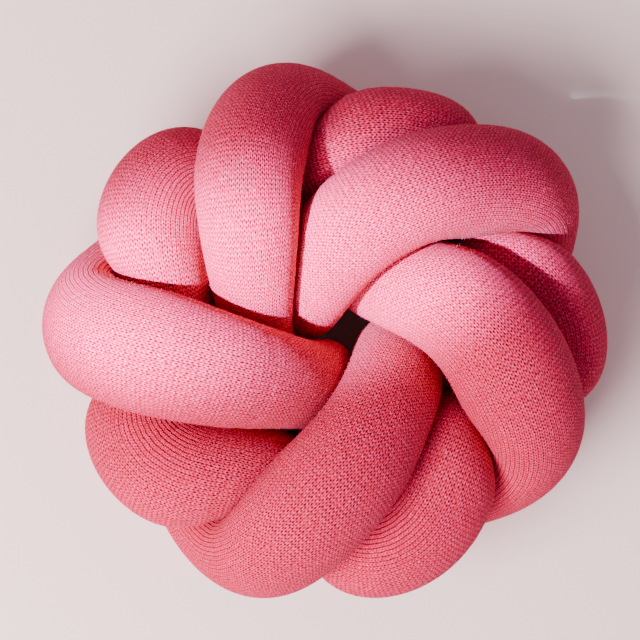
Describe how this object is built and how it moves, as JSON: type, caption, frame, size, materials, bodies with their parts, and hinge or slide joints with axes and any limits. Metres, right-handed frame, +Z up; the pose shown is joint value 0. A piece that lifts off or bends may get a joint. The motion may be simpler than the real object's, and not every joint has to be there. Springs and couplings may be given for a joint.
{
  "type": "knot cushion",
  "caption": "Round floor or sofa cushion made of one stuffed knitted tube laid in a flat knot, with arms that cross the top and dive under each other at the rim.",
  "frame": {"origin": "centre of the box round the cushion, on the plane it lies on", "axes": "+Z up out of the cushion's top face; +Y toward the picture's upper edge and +X toward its right edge"},
  "size_m": [0.3397, 0.3219, 0.1654],
  "materials": {
    "pink_knit": "fine matt stocking-stitch knit"
  },
  "bodies": {
    "root": {"knitted_tube": "pink_knit"}
  },
  "joints": []
}
